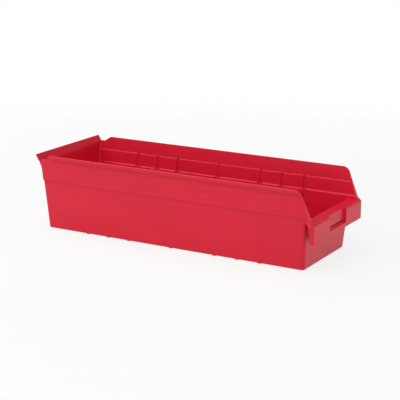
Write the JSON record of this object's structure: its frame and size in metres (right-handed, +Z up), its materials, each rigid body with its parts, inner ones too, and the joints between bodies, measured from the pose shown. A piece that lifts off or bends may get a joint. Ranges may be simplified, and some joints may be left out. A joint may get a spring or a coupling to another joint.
{
  "type": "shelf bin",
  "caption": "Long open-topped plastic storage bin with a low hopper front, pull grip with label pocket, divider slots inside and a bent hanging lip along the back.",
  "frame": {"origin": "under the middle of the bin, on the plane of the beads that it stands on", "axes": "+X across the bin, +Y from the pull grip at the front to the hanging lip at the back, +Z up"},
  "size_m": [0.2136, 0.6, 0.1524],
  "materials": {
    "bin_plastic": "satin moulded polypropylene"
  },
  "bodies": {
    "root": {"floor_pan": "bin_plastic", "front_wall": "bin_plastic", "back_wall": "bin_plastic", "back_upper_band": "bin_plastic", "rear_hang_lip": "bin_plastic", "left_lower_wall": "bin_plastic", "right_lower_wall": "bin_plastic", "left_upper_band": "bin_plastic", "right_upper_band": "bin_plastic", "left_rim_band": "bin_plastic", "right_rim_band": "bin_plastic", "left_hopper_flange": "bin_plastic", "right_hopper_flange": "bin_plastic", "left_grip_end": "bin_plastic", "right_grip_end": "bin_plastic", "grip_skirt": "bin_plastic", "grip_flange": "bin_plastic", "label_panel": "bin_plastic", "label_shelf": "bin_plastic"}
  },
  "joints": []
}
